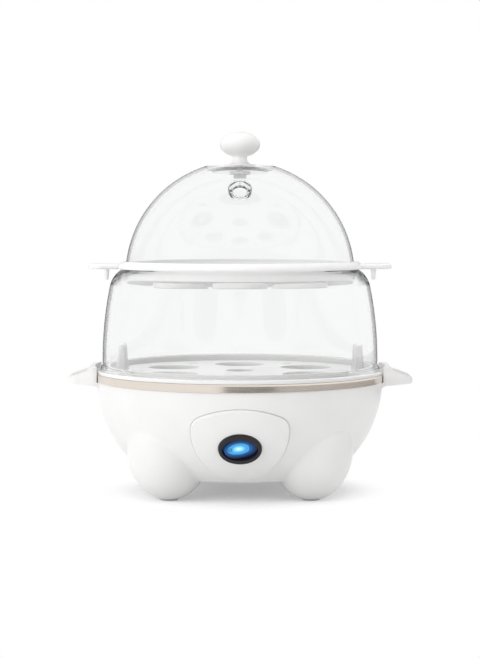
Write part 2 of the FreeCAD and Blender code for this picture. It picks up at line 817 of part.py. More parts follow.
def make_foot_pads():
    """Four pads let into the soles of the legs."""
    for corner, angle in CORNERS.items():
        foot = turned_body("foot", [
            ("0", "0"),
            ("pad_radius - pad_edge", "0", "pad_edge", "ccw"),
            ("pad_radius", "pad_edge"),
            ("pad_radius", "pad_proud + pad_seat"),
            ("0", "pad_proud + pad_seat"),
        ])
        x, y = ring_place(LEG_PITCH, angle)
        node(place(foot, x, y), f"foot_pad_{corner}")


def make_control_panel():
    """The shield-shaped panel, let into the front of the bowl, with a seat for the switch."""
    blank = common("panel_blank", panel_prism("panel_prism", "0"),
                   bowl_band("panel_band", "(-panel_depth)", "panel_proud"))

    def on_face(edge):
        spot = middle(edge)
        reach = math.hypot(spot.x, spot.y) - worth(BOWL_CENTRE)
        off = math.hypot(reach, spot.z - worth(BOWL_LEVEL)) - worth("bowl_arc + panel_proud")
        return abs(off) < NEAR

    rounded = round_edges("panel_rounded", blank, "panel_edge", on_face)
    seat = oval("panel_seat", "bezel_half_width + bezel_gap", "bezel_half_height + bezel_gap",
                "-bezel_seat", "overrun")
    way = oval("panel_way", "rocker_half_length + rocker_gap + bezel_wall + bezel_gap",
               "rocker_half_width + rocker_gap + bezel_wall + bezel_gap", "-overrun", "overrun")
    seated = cut("panel_seated", rounded, place_on_panel(seat))
    node(cut("control_panel", seated, place_on_panel(way)), "control_panel")


def make_switch():
    """The lit rocker switch: bezel, rocker, body with its well, lamp and blades."""
    tube_width = "(rocker_half_length + rocker_gap + bezel_wall)"
    tube_height = "(rocker_half_width + rocker_gap + bezel_wall)"
    lip = oval("bezel_lip_blank", "bezel_half_width", "bezel_half_height", "-bezel_seat", "bezel_lip")

    def at_top(edge):
        return abs(middle(edge).z - worth("bezel_lip")) < NEAR and edge.BoundBox.ZLength < NEAR

    lip = round_edges("bezel_rounded", lip, "bezel_edge", at_top)
    tube = oval("bezel_tube", tube_width, tube_height, "-bezel_depth", "-bezel_seat")
    mouth = oval("bezel_mouth", "rocker_half_length + rocker_gap", "rocker_half_width + rocker_gap",
                 "-bezel_depth - overrun", "bezel_lip + overrun")
    pin_way = solid("Cylinder", "pin_way", Radius="rocker_pin + pin_gap", Height=f"2 * {tube_height}")
    place(pin_way, "0", tube_height, "-rocker_sink", X_AXIS, "90")
    ring = cut("bezel_ring", fuse("bezel_blank", lip, tube), mouth)
    node(place_on_panel(cut("switch_bezel", ring, pin_way)), "switch_bezel")

    profile = new_body("rocker_profile")
    sketch = new_sketch(profile, "XZ_Plane")
    draw(sketch, [
        ("-rocker_half_length", "-rocker_keel"),
        ("rocker_half_length", "-rocker_keel"),
        ("rocker_half_length", "rocker_end", "rocker_dish", "cw"),
        ("-rocker_half_length", "rocker_end"),
    ])
    pad(profile, sketch, "2 * rocker_half_width + overrun", "Symmetric")
    place(profile, axis=Y_AXIS, angle="rocker_tilt")
    ball = solid("Ellipsoid", "rocker_ball", Radius1="rocker_half_length", Radius2="rocker_half_length",
                 Radius3="rocker_half_width")
    pins = solid("Cylinder", "rocker_pins", Radius="rocker_pin",
                 Height="2 * (rocker_half_width + rocker_pin_reach)")
    place(pins, "0", "rocker_half_width + rocker_pin_reach", "0", X_AXIS, "90")
    rocker = fuse("rocker", common("rocker_paddle", ball, profile), pins)
    node(place_on_panel(rocker, "-rocker_sink"), "rocker")

    body = new_body("switch_case")
    sketch = new_sketch(body, "XY_Plane", "-bezel_depth - switch_depth")
    draw(sketch, [
        ("-switch_half_width", "-switch_half_height"),
        ("switch_half_width", "-switch_half_height"),
        ("switch_half_width", "switch_half_height"),
        ("-switch_half_width", "switch_half_height"),
    ])
    pad(body, sketch, "switch_depth")
    well = oval("switch_well", "rocker_half_length + rocker_gap", "rocker_half_width + rocker_gap",
                "-bezel_depth - switch_well", "bezel_depth")
    node(place_on_panel(cut("switch_body", body, well)), "switch_body")

    lamp = turned_body("lamp", [
        ("0", "0"),
        ("lamp_radius", "0"),
        ("lamp_radius", "lamp_height / 2", "(lamp_radius^2 + (lamp_height / 2)^2) / lamp_height", "ccw"),
        ("0", "lamp_height"),
    ])
    node(place_on_panel(lamp, "-bezel_depth - switch_well"), "indicator_lamp")

    for side, sign in (("left", "-"), ("right", "")):
        blade = new_body("blade")
        sketch = new_sketch(blade, "XY_Plane")
        draw(sketch, [
            (f"{sign}blade_pitch - blade_sheet / 2", "-blade_width / 2"),
            (f"{sign}blade_pitch + blade_sheet / 2", "-blade_width / 2"),
            (f"{sign}blade_pitch + blade_sheet / 2", "blade_width / 2"),
            (f"{sign}blade_pitch - blade_sheet / 2", "blade_width / 2"),
        ])
        pad(blade, sketch, "blade_length")
        node(place_on_panel(blade, "-bezel_depth - switch_depth - blade_length"), f"switch_blade_{side}")


def make_rim_and_dish():
    """The steel rim band, the ring seal and the heating dish under it."""
    inside = "(rim_radius - rim_flange)"
    node(turned_body("steel_rim", [
        ("rim_radius - rim_sheet", RIM_LOW),
        ("rim_radius", RIM_LOW),
        ("rim_radius", f"{RIM_TOP} - rim_edge", "rim_edge", "ccw"),
        ("rim_radius - rim_edge", RIM_TOP),
        (inside, RIM_TOP),
        (inside, "base_height"),
        ("rim_radius - rim_sheet", "base_height"),
    ]), "steel_rim")
    edge = f"({NECK_RADIUS} - plate_gap)"
    seal = f"({DISH_MOUTH} + plate_sheet + plate_gap)"
    node(turned_body("plate_seal", [
        (seal, SHELF_TOP),
        (edge, SHELF_TOP),
        (edge, f"{SHELF_TOP} + seal_sheet"),
        (seal, f"{SHELF_TOP} + seal_sheet"),
    ]), "plate_seal")
    floor = "(base_height - dish_depth)"
    dish = new_body("heating_plate")
    turned = revolve(dish, [
        ("0", DISH_UNDER),
        (f"{DISH_FLOOR} + plate_sheet", DISH_UNDER),
        (f"{DISH_MOUTH} + plate_sheet", "base_height - plate_sheet"),
        (edge, "base_height - plate_sheet"),
        (edge, "base_height"),
        (DISH_MOUTH, "base_height"),
        (DISH_FLOOR, floor),
        ("0", floor),
    ])

    def at_floor(edge):
        return at_ring(edge, floor, DISH_FLOOR)

    def at_underside(edge):
        return at_ring(edge, DISH_UNDER, f"{DISH_FLOOR} + plate_sheet")

    inner = round_body_edges(dish, turned, "dish_fillet", at_floor)
    round_body_edges(dish, inner, "dish_fillet + plate_sheet", at_underside)
    node(dish, "heating_plate")


def make_heater():
    """The ring element with its cold pins, the thermostat, its clamp strap, studs, nuts and fuse."""
    centre = f"({DISH_UNDER} - element_tube + element_flat)"
    ring = solid("Torus", "element_ring", Radius1=ELEMENT_RING, Radius2="element_tube",
                 Angle3="360 - element_gap_angle")
    place(ring, "0", "0", centre, Z_AXIS, "90 + element_gap_angle / 2")
    top = solid("Cylinder", "element_top", Radius=f"{ELEMENT_RING} + 2 * element_tube",
                Height="2 * element_tube")
    flat = cut("element_flattened", ring, place(top, z=DISH_UNDER))
    pins = []
    for sign in ("-", "+"):
        x, y = ring_place(ELEMENT_RING, f"90 {sign} element_gap_angle / 2 {sign} element_pin_angle")
        pin = solid("Cylinder", "cold_pin", Radius="element_pin", Height="element_pin_length")
        pins.append(place(pin, x, y, f"{centre} - element_pin_length"))
    node(fuse("heating_element", flat, *pins), "heating_element")

    button = turned_body("thermostat_can", [
        ("0", STRAP_TOP),
        ("thermostat_radius", STRAP_TOP),
        ("thermostat_radius", f"{DISH_UNDER} - thermostat_flange_sheet"),
        ("thermostat_flange", f"{DISH_UNDER} - thermostat_flange_sheet"),
        ("thermostat_flange", DISH_UNDER),
        ("0", DISH_UNDER),
    ])
    blades = solid("Box", "thermostat_blades", Length="blade_width", Height="blade_sheet",
                   Width="2 * (thermostat_radius + thermostat_blade)")
    place(blades, "-blade_width / 2", "-(thermostat_radius + thermostat_blade)",
          f"{STRAP_TOP} + thermostat_blade_rise")
    node(fuse("thermostat", button, blades), "thermostat")

    strap = new_body("clamp_strap")
    sketch = new_sketch(strap, "XZ_Plane")
    hook = f"({SHELF_RADIUS} + strap_hook)"
    bend = f"({SHELF_RADIUS} - strap_rise)"
    low = f"({STRAP_TOP} - strap_sheet)"
    draw(sketch, [
        (f"-({bend} + strap_sheet / 2)", low),
        (f"{bend} + strap_sheet / 2", low),
        (f"{SHELF_RADIUS} + strap_sheet / 2", f"{SHELF_UNDER} - strap_sheet"),
        (hook, f"{SHELF_UNDER} - strap_sheet"),
        (hook, SHELF_UNDER),
        (f"{SHELF_RADIUS} - strap_sheet / 2", SHELF_UNDER),
        (bend, STRAP_TOP),
        (f"-{bend}", STRAP_TOP),
        (f"-({SHELF_RADIUS} - strap_sheet / 2)", SHELF_UNDER),
        (f"-{hook}", SHELF_UNDER),
        (f"-{hook}", f"{SHELF_UNDER} - strap_sheet"),
        (f"-({SHELF_RADIUS} + strap_sheet / 2)", f"{SHELF_UNDER} - strap_sheet"),
    ])
    pad(strap, sketch, "strap_width", "Symmetric")
    holes = new_sketch(strap, "XY_Plane", low)
    for sign in ("-", ""):
        draw_circle(holes, f"{sign}{STUD_PITCH}", "0", "stud_radius + stud_gap")
    pocket(strap, holes, "strap_sheet", back=True)
    node(strap, "clamp_strap")

    for side, sign in (("left", "-"), ("right", "")):
        length = "(thermostat_height + strap_sheet + nut_height + stud_tail)"
        stud = solid("Cylinder", "stud", Radius="stud_radius", Height=length)
        node(place(stud, f"{sign}{STUD_PITCH}", "0", f"{DISH_UNDER} - {length}"), f"dish_stud_{side}")
        hexagon = solid("Prism", "nut_blank", Polygon="6", Circumradius="nut_across / sqrt(3)",
                        Height="nut_height")
        way = solid("Cylinder", "nut_way", Radius="stud_radius + thread_gap", Height="nut_height")
        nut = cut("nut", hexagon, way)
        node(place(nut, f"{sign}{STUD_PITCH}", "0", f"{low} - nut_height"), f"strap_nut_{side}")

    can = solid("Cylinder", "fuse_can", Radius="fuse_radius", Height="fuse_length")
    place(can, "0", "0", "-fuse_length / 2")
    lead = solid("Cylinder", "fuse_leads", Radius="fuse_lead", Height="fuse_length + 2 * fuse_lead_length")
    place(lead, "0", "0", "-fuse_length / 2 - fuse_lead_length")
    link = fuse("thermal_fuse", can, lead)
    node(place(link, FUSE_PLACE, "0", f"{DISH_UNDER} - fuse_radius", X_AXIS, "90"), "thermal_fuse")


def make_base_electrics():
    """The buzzer and terminal block on the bottom cover, and the gland at the back."""
    buzzer = turned_body("buzzer", [
        ("buzzer_hole", LEDGE_UNDER),
        ("buzzer_radius", LEDGE_UNDER),
        ("buzzer_radius", f"{LEDGE_UNDER} + buzzer_height"),
        ("buzzer_hole", f"{LEDGE_UNDER} + buzzer_height"),
    ])
    node(place(buzzer, "0", f"-({LEDGE_RADIUS} - buzzer_radius - buzzer_gap)"), "buzzer")

    block = new_body("terminal_block")
    sketch = new_sketch(block, "XY_Plane")
    draw(sketch, [
        ("-block_length / 2", "-block_width / 2"),
        ("block_length / 2", "-block_width / 2"),
        ("block_length / 2", "block_width / 2"),
        ("-block_length / 2", "block_width / 2"),
    ])
    pad(block, sketch, "block_height")
    ways = new_sketch(block, "XZ_Plane")
    for pole in ("-block_pitch", "0", "block_pitch"):
        draw_circle(ways, pole, "block_height / 2", "block_bore")
    bores = pocket(block, ways, "block_width + overrun")
    bores.SideType = "Symmetric"
    corner = f"sqrt({LEDGE_RADIUS}^2 - (block_length / 2)^2)"
    node(place(block, "0", f"{corner} - block_width / 2 - block_gap", LEDGE_UNDER), "terminal_block")

    inside = f"(-{GLAND_TUBE})"
    neck = "(gland_bore + gland_wall)"
    gland = turned_body("cord_gland", [
        ("gland_bore", f"{inside} - gland_flange_sheet"),
        ("gland_flange", f"{inside} - gland_flange_sheet"),
        ("gland_flange", inside),
        (neck, inside),
        (neck, "0"),
        ("gland_flange", "0"),
        ("gland_flange", "gland_flange_sheet / 2"),
        ("gland_flange - gland_flange_sheet / 2", "gland_flange_sheet"),
        ("gland_bore", "gland_flange_sheet"),
    ])
    node(place(gland, "0", GLAND_FACE, "gland_height", X_AXIS, "-90"), "cord_gland")


def egg_floor(name, outline, low, pitch, hole, collar):
    """A round tray from one outline, with a ring of collared egg holes and a centre hole."""
    tray = turned_body(f"{name}_dish", outline)
    outers = []
    ways = []
    for number in range(EGG_HOLES):
        x, y = ring_place(pitch, f"270 + {number} * 360 / {EGG_HOLES}")
        outer = solid("Cylinder", f"{name}_collar", Radius=f"{hole} + collar_wall",
                      Height=f"{collar} + tray_floor")
        outers.append(place(outer, x, y, f"{low} - {collar}"))
        way = solid("Cylinder", f"{name}_hole", Radius=hole, Height=f"{collar} + tray_floor + overrun")
        ways.append(place(way, x, y, f"{low} - {collar} - overrun / 2"))
    middle_way = solid("Cylinder", f"{name}_centre", Radius="centre_hole", Height="tray_floor + overrun")
    ways.append(place(middle_way, z=f"{low} - overrun / 2"))
    return cut(f"{name}_pierced", fuse(f"{name}_collared", tray, *outers), *ways)


def make_lower_tray():
    """The lower egg tray: collared holes, drain slots and two upright grips."""
    floor = "(base_height + tray_floor)"
    wall = f"({TRAY_RADIUS} - tray_rim_wall)"
    slot_end = f"({LUG_PLACE} - lug_half_width - slot_inset)"
    slot_start = f"({slot_end} - slot_length)"
    pierced = egg_floor("lower_tray", [
        ("0", "base_height"),
        (TRAY_RADIUS, "base_height"),
        (TRAY_RADIUS, f"{floor} + tray_rim_height"),
        (wall, f"{floor} + tray_rim_height"),
        (wall, floor),
        ("0", floor),
    ], "base_height", f"({TRAY_RADIUS} - lower_inset)", "lower_hole", "lower_collar")
    slots = new_body("lower_tray_slots")
    sketch = new_sketch(slots, "XY_Plane")
    draw(sketch, [
        (slot_start, "-slot_half_width", "slot_half_width", "cw"),
        (f"{slot_start} - slot_half_width", "0", "slot_half_width", "cw"),
        (slot_start, "slot_half_width"),
        (slot_end, "slot_half_width", "slot_half_width", "cw"),
        (f"{slot_end} + slot_half_width", "0", "slot_half_width", "cw"),
        (slot_end, "-slot_half_width"),
    ])
    ring_of(slots, pad(slots, sketch, "tray_floor + overrun"), EGG_HOLES)
    place(slots, z="base_height - overrun / 2")
    grips = []
    for sign in ("-", ""):
        grip = new_body("grip")
        sketch = new_sketch(grip, "XZ_Plane")
        draw(sketch, [
            ("-lug_half_width", "base_height"),
            ("lug_half_width", "base_height"),
            ("lug_top_half_width", "base_height + lug_height"),
            ("-lug_top_half_width", "base_height + lug_height"),
        ])
        raised = pad(grip, sketch, "lug_length", "Symmetric")

        def off_floor(edge):
            return edge.BoundBox.ZMax > worth("base_height") + NEAR

        round_body_edges(grip, raised, "lug_edge", off_floor)
        grips.append(place(grip, f"{sign}{LUG_PLACE}"))
    slotted = cut("lower_tray_slotted", pierced, slots)
    node(fuse("lower_egg_tray", slotted, *grips), "lower_egg_tray")


def make_lower_dome():
    """The clear lower dome: a flared foot, a bowed wall and a drawn-in shoulder."""
    low = f"({TRAY_SEAT} - dome_shoulder_drop)"
    node(turned_body("lower_dome", [
        (f"{DOME_RADIUS} - dome_wall", RIM_TOP),
        (FOOT_RADIUS, RIM_TOP),
        (FOOT_RADIUS, f"{RIM_TOP} + foot_edge - foot_bead", "foot_bead", "ccw"),
        (f"{FOOT_RADIUS} - foot_bead", f"{RIM_TOP} + foot_edge"),
        (DOME_RADIUS, f"{RIM_TOP} + foot_height", "dome_wall_arc", "ccw"),
        (DOME_SHOULDER, low, "dome_shoulder_arc", "ccw"),
        (DOME_MOUTH, TRAY_SEAT),
        (f"{DOME_MOUTH} - dome_lip", TRAY_SEAT),
        (f"{DOME_MOUTH} - dome_lip", f"{TRAY_SEAT} - dome_wall", "dome_shoulder_arc - dome_wall", "cw"),
        (f"{DOME_SHOULDER} - dome_wall", low, "dome_wall_arc - dome_wall", "cw"),
        (f"{DOME_RADIUS} - dome_wall", f"{RIM_TOP} + foot_height"),
    ]), "lower_dome")


def make_upper_tray():
    """The upper egg tray: a skirt in the dome's mouth, a beaded flange, two ears and their pegs."""
    low = f"({TRAY_SEAT} - tray_drop)"
    wall = f"({SKIRT_RADIUS} - tray_rim_wall)"
    bead = f"(sqrt({LID_ARC}^2 - lid_drop^2) + lid_gap)"
    pierced = egg_floor("upper_tray", [
        ("0", low),
        (SKIRT_RADIUS, low),
        (SKIRT_RADIUS, TRAY_SEAT),
        (f"{DOME_MOUTH} + flange_lap", TRAY_SEAT, "tray_bead_arc", "ccw"),
        (f"{bead} + tray_bead_width", f"{LID_SEAT} + tray_bead"),
        (bead, f"{LID_SEAT} + tray_bead"),
        (bead, LID_SEAT),
        (wall, LID_SEAT),
        (wall, f"{low} + tray_floor"),
        ("0", f"{low} + tray_floor"),
    ], low, f"({SKIRT_RADIUS} - upper_inset)", "upper_hole", "upper_collar")
    ears = []
    for sign, turn in (("", "0"), ("-", "180")):
        ear = new_body("ear")
        sketch = new_sketch(ear, "XY_Plane")
        root = f"{bead} + tray_bead_width"
        draw(sketch, [
            (root, "-ear_half_width"),
            (EAR_REACH, "-ear_half_width"),
            (EAR_REACH, "ear_half_width"),
            (root, "ear_half_width"),
        ])
        raised = pad(ear, sketch, "ear_sheet")

        def at_ear_corner(edge):
            return runs_along(edge, Z_AXIS) and abs(middle(edge).x - worth(EAR_REACH)) < NEAR

        cornered = round_body_edges(ear, raised, "ear_corner", at_ear_corner)

        def at_ear_rim(edge):
            return not runs_along(edge, Z_AXIS) and edge.BoundBox.XMax > worth(root) + NEAR

        round_body_edges(ear, cornered, "ear_edge", at_ear_rim)
        ears.append(place(ear, "0", "0", TRAY_SEAT, Z_AXIS, turn))
        peg = solid("Cone", "peg", Radius1="peg_tip", Radius2="peg_radius", Height="peg_length")
        ears.append(place(peg, f"{sign}{PEG_PLACE}", "0", f"{TRAY_SEAT} - peg_length"))
    node(fuse("upper_egg_tray", pierced, *ears), "upper_egg_tray")


def make_lid():
    """The clear dome lid with its vent, and the knob with its screw and washer."""
    inside = f"({LID_ARC} - lid_wall)"
    boss_under = f"({LID_TOP} - lid_boss_depth)"
    shell = turned_body("lid_shell", [
        (f"sqrt({inside}^2 - lid_drop^2)", LID_SEAT),
        (f"sqrt({LID_ARC}^2 - lid_drop^2)", LID_SEAT, LID_ARC, "ccw"),
        ("lid_flat", LID_TOP),
        ("knob_screw_shank + knob_screw_gap", LID_TOP),
        ("knob_screw_shank + knob_screw_gap", boss_under),
        ("lid_boss", boss_under),
        ("lid_boss", f"{LID_CENTRE} + sqrt({inside}^2 - lid_boss^2)", inside, "cw"),
    ])
    depth = "(lid_wall + overrun)"
    tube = turned_body("vent_tube", [
        ("0", f"-{depth}"),
        ("vent_radius", f"-{depth}"),
        ("vent_radius", "vent_reach - vent_edge", "vent_edge", "ccw"),
        ("vent_radius - vent_edge", "vent_reach"),
        ("0", "vent_reach"),
    ])
    hollow = solid("Sphere", "lid_hollow", Radius=inside)
    place(hollow, z=LID_CENTRE)
    bore = solid("Cylinder", "vent_way", Radius="vent_bore", Height=f"2 * {depth} + vent_reach + overrun")
    y = f"-{LID_ARC} * cos(vent_place)"
    z = f"{LID_CENTRE} + {LID_ARC} * sin(vent_place)"
    place(tube, "0", y, z, X_AXIS, "90 - vent_tilt")
    place(bore, "0", f"{y} + 2 * {depth} * cos(vent_tilt)", f"{z} - 2 * {depth} * sin(vent_tilt)",
          X_AXIS, "90 - vent_tilt")
    vented = fuse("lid_vented", shell, cut("vent_trimmed", tube, hollow))
    node(cut("dome_lid", vented, bore), "dome_lid")

    head = solid("Ellipsoid", "knob_ball", Radius1="knob_head_half_height", Radius2="knob_head",
                 Radius3="knob_head")
    place(head, z="knob_height - knob_head_half_height")
    stem = turned_body("knob_stem", [
        ("0", "0"),
        ("knob_foot", "0"),
        ("knob_foot", "knob_foot_sheet"),
        ("knob_neck + knob_blend", "knob_foot_sheet", "knob_blend", "cw"),
        ("knob_neck", "knob_foot_sheet + knob_blend"),
        ("knob_neck", "knob_height - knob_head_half_height"),
        ("0", "knob_height - knob_head_half_height"),
    ])
    way = solid("Cylinder", "knob_way", Radius="knob_screw_shank + thread_gap", Height="knob_screw_bite")
    node(place(cut("lid_knob", fuse("knob_blank", head, stem), way), z=LID_TOP), "lid_knob")

    node(turned_body("knob_washer", [
        ("knob_screw_shank + knob_screw_gap", f"{boss_under} - washer_sheet"),
        ("washer_radius", f"{boss_under} - washer_sheet"),
        ("washer_radius", boss_under),
        ("knob_screw_shank + knob_screw_gap", boss_under),
    ]), "knob_washer")
    under = f"({boss_under} - washer_sheet)"
    node(turned_body("knob_screw", [
        ("0", f"{under} - knob_screw_head_height"),
        ("knob_screw_head", f"{under} - knob_screw_head_height"),
        ("knob_screw_head", under),
        ("knob_screw_shank", under),
        ("knob_screw_shank", f"{LID_TOP} + knob_screw_bite"),
        ("0", f"{LID_TOP} + knob_screw_bite"),
    ]), "knob_screw")


make_housing()
make_bottom_cover()
make_foot_pads()
make_control_panel()
make_switch()
make_rim_and_dish()
make_heater()
make_base_electrics()
make_lower_tray()
make_lower_dome()
make_upper_tray()
make_lid()
doc.recompute()

for item in doc.Objects:
    if "Invalid" in item.State or "Error" in item.State:
        raise RuntimeError(f"{item.Label} did not build")
for piece in nodes:
    if piece.Shape.isNull() or not piece.Shape.isValid():
        raise RuntimeError(f"{piece.Label} has no sound shape")
os.makedirs("parts", exist_ok=True)
for piece in nodes:
    piece.Shape.exportStep(f"parts/{piece.Label}.step")
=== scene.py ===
import json
import math
import bmesh
import bpy
from mathutils import Matrix, Vector
from mathutils.bvhtree import BVHTree


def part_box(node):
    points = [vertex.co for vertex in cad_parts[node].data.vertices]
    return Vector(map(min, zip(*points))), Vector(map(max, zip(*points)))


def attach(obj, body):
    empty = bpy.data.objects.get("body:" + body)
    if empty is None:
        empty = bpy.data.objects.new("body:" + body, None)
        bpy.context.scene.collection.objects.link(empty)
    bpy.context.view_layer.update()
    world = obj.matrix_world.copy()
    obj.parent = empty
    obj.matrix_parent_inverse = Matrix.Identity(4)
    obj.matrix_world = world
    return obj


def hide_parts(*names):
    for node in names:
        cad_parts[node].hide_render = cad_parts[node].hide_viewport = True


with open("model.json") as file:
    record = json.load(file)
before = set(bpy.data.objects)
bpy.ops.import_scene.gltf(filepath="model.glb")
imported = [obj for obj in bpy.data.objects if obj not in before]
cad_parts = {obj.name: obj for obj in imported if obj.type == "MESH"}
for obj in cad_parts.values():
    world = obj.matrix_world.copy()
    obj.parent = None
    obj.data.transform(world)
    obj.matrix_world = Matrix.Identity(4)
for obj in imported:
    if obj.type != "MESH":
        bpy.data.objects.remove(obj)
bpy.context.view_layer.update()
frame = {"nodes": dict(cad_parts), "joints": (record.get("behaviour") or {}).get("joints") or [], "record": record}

# Lengths are in metres, in the part's own frame: +Z up, front towards -Y
MM = 0.001

# Corners closer together than this are one corner
WELD = 0.001 * MM

# Most of a noise lies between these two values
NOISE_LOW = 0.3
NOISE_HIGH = 0.7


def link(tree, source, target):
    """Join two sockets."""
    tree.links.new(source, target)


def add(tree, kind, inputs=None, **settings):
    """Add a shader node, with its inputs joined to sockets or set to values."""
    made = tree.nodes.new(kind)
    for name, value in settings.items():
        setattr(made, name, value)
    for name, value in (inputs or {}).items():
        if isinstance(value, bpy.types.NodeSocket):
            link(tree, value, made.inputs[name])
        else:
            made.inputs[name].default_value = value
    return made


def new_material(name):
    """A material with its node tree and its main shader."""
    material = bpy.data.materials.new(name)
    material.use_nodes = True
    shader = material.node_tree.nodes["Principled BSDF"]
    return material, material.node_tree, shader


def own_place(tree):
    """The part's own coordinates in metres."""
    return add(tree, "ShaderNodeTexCoord").outputs["Object"]


def own_height(tree):
    """The height above the part's floor."""
    return add(tree, "ShaderNodeSeparateXYZ", {"Vector": own_place(tree)}).outputs["Z"]


def noise(tree, stretch, detail=3.0, rough=0.5):
    """A noise from 0 to 1, with so many grains per metre along each axis."""
    place = add(tree, "ShaderNodeMapping", {"Vector": own_place(tree), "Scale": stretch})
    made = add(tree, "ShaderNodeTexNoise", {
        "Vector": place.outputs["Vector"],
        "Scale": 1.0,
        "Detail": detail,
        "Roughness": rough,
    })
    return made.outputs["Fac"]


def ramp(tree, factor, *stops):
    """A colour ramp of (position, colour) stops."""
    made = add(tree, "ShaderNodeValToRGB", {"Fac": factor})
    band = made.color_ramp
    while len(band.elements) < len(stops):
        band.elements.new(1.0)
    for element, (position, colour) in zip(band.elements, stops):
        element.position = position
        element.color = (*colour, 1.0)
    return made.outputs["Color"]


def between(tree, factor, low, high):
    """A number that runs from low to high as a noise rises."""
    made = add(tree, "ShaderNodeMapRange", {
        "Value": factor,
        "From Min": NOISE_LOW,
        "From Max": NOISE_HIGH,
        "To Min": low,
        "To Max": high,
    })
    return made.outputs["Result"]


def bump(tree, height, depth, strength=1.0):
    """A bump of a depth in metres."""
    made = add(tree, "ShaderNodeBump", {"Height": height, "Distance": depth, "Strength": strength})
    return made.outputs["Normal"]


def even(grains):
    """The same number of grains per metre along each axis."""
    return (grains, grains, grains)


def shade(colour, factor):
    """A colour made lighter or darker."""
    return tuple(min(1.0, part * factor) for part in colour)


def varied(tree, factor, colour, low, high):
    """A colour that runs between two shares of itself as a noise rises."""
    return ramp(tree, factor, (NOISE_LOW, shade(colour, low)), (NOISE_HIGH, shade(colour, high)))


MOTTLE_GRAINS = 60.0
POLISH_GRAINS = 30.0
POLISH_SPREAD = 0.03


def moulded(name, colour, rough, grain=2600.0, depth=0.0015 * MM, spread=0.012, shine=0.5):
    """Moulded plastic: a faint mottle, a fine texture and an uneven polish."""
    material, tree, shader = new_material(name)
    shader.inputs["Specular IOR Level"].default_value = shine
    mottle = noise(tree, even(MOTTLE_GRAINS))
    polish = noise(tree, even(POLISH_GRAINS), detail=0.0)
    uneven = between(tree, polish, rough * (1 - POLISH_SPREAD), rough * (1 + POLISH_SPREAD))
    link(tree, varied(tree, mottle, colour, 1 - spread, 1 + spread), shader.inputs["Base Color"])
    link(tree, uneven, shader.inputs["Roughness"])
    link(tree, bump(tree, noise(tree, even(grain), detail=2.0), depth), shader.inputs["Normal"])
    return material


def let_light_by(material, colour):
    """Let the light that falls on a material pass on, tinted, to what it covers."""
    tree = material.node_tree
    path = add(tree, "ShaderNodeLightPath")
    open_way = add(tree, "ShaderNodeBsdfTransparent", {"Color": (*colour, 1.0)})
    shown = tree.nodes["Principled BSDF"].outputs["BSDF"]
    for ray in ("Is Shadow Ray", "Is Diffuse Ray"):
        mixed = add(tree, "ShaderNodeMixShader", {"Fac": path.outputs[ray]})
        link(tree, shown, mixed.inputs[1])
        link(tree, open_way.outputs["BSDF"], mixed.inputs[2])
        shown = mixed.outputs["Shader"]
    link(tree, shown, tree.nodes["Material Output"].inputs["Surface"])
    return material


MILKY_ROUGH = 0.32
MILKY_SCATTER = 0.7
MILKY_DEPTH = 3 * MM
MILKY_PASS = 1.1


def milky(name, colour):
    """Slightly translucent moulded plastic, for the trays."""
    material = moulded(name, colour, MILKY_ROUGH)
    shader = material.node_tree.nodes["Principled BSDF"]
    shader.inputs["Subsurface Weight"].default_value = MILKY_SCATTER
    shader.inputs["Subsurface Radius"].default_value = (1.0, 1.0, 1.0)
    shader.inputs["Subsurface Scale"].default_value = MILKY_DEPTH
    return let_light_by(material, shade(colour, MILKY_PASS))


CLEAR_IOR = 1.49
CLEAR_ROUGH = 0.015
CLEAR_POLISH_GRAINS = 25.0
CLEAR_WAVES = 45.0
CLEAR_WAVE_DEPTH = 0.02 * MM
CLEAR_WAVE_STRENGTH = 0.5
CLEAR_TINT = (0.5, 0.51, 0.51)
CLEAR_DENSITY = 15.0
CLEAR_PASS = 1.02


def clear(name, colour):
    """Clear polished plastic that lets light by, and greys where it is seen edge on."""
    material, tree, shader = new_material(name)
    shader.inputs["Base Color"].default_value = (*colour, 1.0)
    shader.inputs["Transmission Weight"].default_value = 1.0
    shader.inputs["IOR"].default_value = CLEAR_IOR
    polish = noise(tree, even(CLEAR_POLISH_GRAINS))
    waves = noise(tree, even(CLEAR_WAVES), detail=1.0)
    wavy = bump(tree, waves, CLEAR_WAVE_DEPTH, CLEAR_WAVE_STRENGTH)
    link(tree, between(tree, polish, 0.0, CLEAR_ROUGH), shader.inputs["Roughness"])
    link(tree, wavy, shader.inputs["Normal"])
    tint = add(tree, "ShaderNodeVolumeAbsorption", {"Color": (*CLEAR_TINT, 1.0), "Density": CLEAR_DENSITY})
    link(tree, tint.outputs["Volume"], tree.nodes["Material Output"].inputs["Volume"])
    return let_light_by(material, shade(colour, CLEAR_PASS))


HAZE_HEIGHT = 2.1 * MM
HAZE_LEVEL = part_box("lower_dome")[0][2] + HAZE_HEIGHT
HAZE_FADE = 0.2 * MM
HAZE_THROUGH = 0.38


def hazy(material):
    """Clear plastic whose moulded edge at the lower dome's foot is hazy."""
    tree = material.node_tree
    made = add(tree, "ShaderNodeMapRange", {
        "Value": own_height(tree),
        "From Min": HAZE_LEVEL,
        "From Max": HAZE_LEVEL + HAZE_FADE,
        "To Min": HAZE_THROUGH,
        "To Max": 1.0,
    })
    link(tree, made.outputs["Result"], tree.nodes["Principled BSDF"].inputs["Transmission Weight"])
    return material


SCRATCH_ROUGH = (0.8, 1.25)


